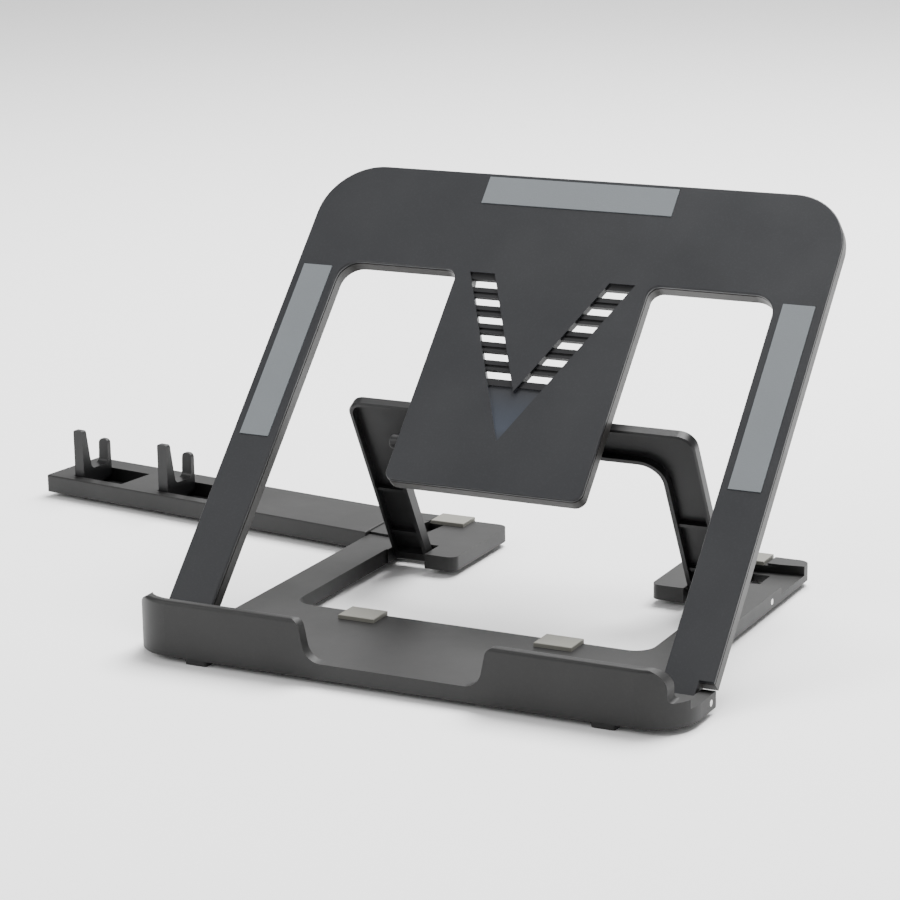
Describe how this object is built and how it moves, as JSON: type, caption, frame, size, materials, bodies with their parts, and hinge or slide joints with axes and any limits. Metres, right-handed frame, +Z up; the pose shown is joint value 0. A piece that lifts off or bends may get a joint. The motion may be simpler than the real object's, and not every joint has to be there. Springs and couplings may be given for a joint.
{
  "type": "laptop stand",
  "caption": "Folding laptop stand with a U-shaped base, tilting platform with V-shaped vents, swinging prop, front stops and a plug-in bar with folding phone clips.",
  "frame": {"origin": "on the table, at the centre of the base frame's footprint", "axes": "+Z up, -Y towards the person at the laptop, +X to their right"},
  "size_m": [0.4709, 0.2619, 0.1998],
  "materials": {
    "base_plastic": "satin black moulded plastic",
    "platform_plastic": "satin charcoal moulded plastic",
    "dark_plastic": "matte black moulded plastic",
    "platform_pad_rubber": "cool grey silicone",
    "base_pad_rubber": "warm grey silicone",
    "foot_rubber": "black rubber",
    "pin_steel": "plain steel"
  },
  "bodies": {
    "base": {"base_frame": "base_plastic", "foot_front_left": "foot_rubber", "foot_front_right": "foot_rubber", "foot_rear_left": "foot_rubber", "foot_rear_right": "foot_rubber", "base_pad_front_left": "base_pad_rubber", "base_pad_front_right": "base_pad_rubber", "base_pad_rear_left": "base_pad_rubber", "base_pad_rear_right": "base_pad_rubber", "platform_pin_left": "pin_steel", "platform_pin_right": "pin_steel", "prop_pin_left": "pin_steel", "prop_pin_right": "pin_steel", "phone_bar": "base_plastic", "clip_pin_outer": "pin_steel", "clip_pin_inner": "pin_steel"},
    "platform": {"platform_frame": "platform_plastic", "platform_pad_top": "platform_pad_rubber", "platform_pad_left": "platform_pad_rubber", "platform_pad_right": "platform_pad_rubber", "side_knob": "dark_plastic"},
    "prop": {"prop_frame": "dark_plastic"},
    "clip_outer": {"clip_outer": "dark_plastic"},
    "clip_inner": {"clip_inner": "dark_plastic"}
  },
  "joints": [
    {"name": "platform_tilt", "type": "hinge", "parent": "base", "child": "platform", "pos_m": [0, -0.0839, 0.0067], "axis": [1, 0, 0], "range_deg": [-16, 20]},
    {"name": "prop_swing", "type": "hinge", "parent": "base", "child": "prop", "pos_m": [0, 0.063, 0.0065], "axis": [-1, 0, 0], "range_deg": [-62.5, 50]},
    {"name": "clip_outer_fold", "type": "hinge", "parent": "base", "child": "clip_outer", "pos_m": [-0.30961, 0.11924, 0.009], "axis": [0.1305, 0.9914, 0], "range_deg": [0, 90]},
    {"name": "clip_inner_fold", "type": "hinge", "parent": "base", "child": "clip_inner", "pos_m": [-0.25012, 0.11141, 0.009], "axis": [0.1305, 0.9914, 0], "range_deg": [0, 90]}
  ],
  "couplings": [
    {"joint": "prop_swing", "follows": "platform_tilt", "ratio": -3.125}
  ]
}
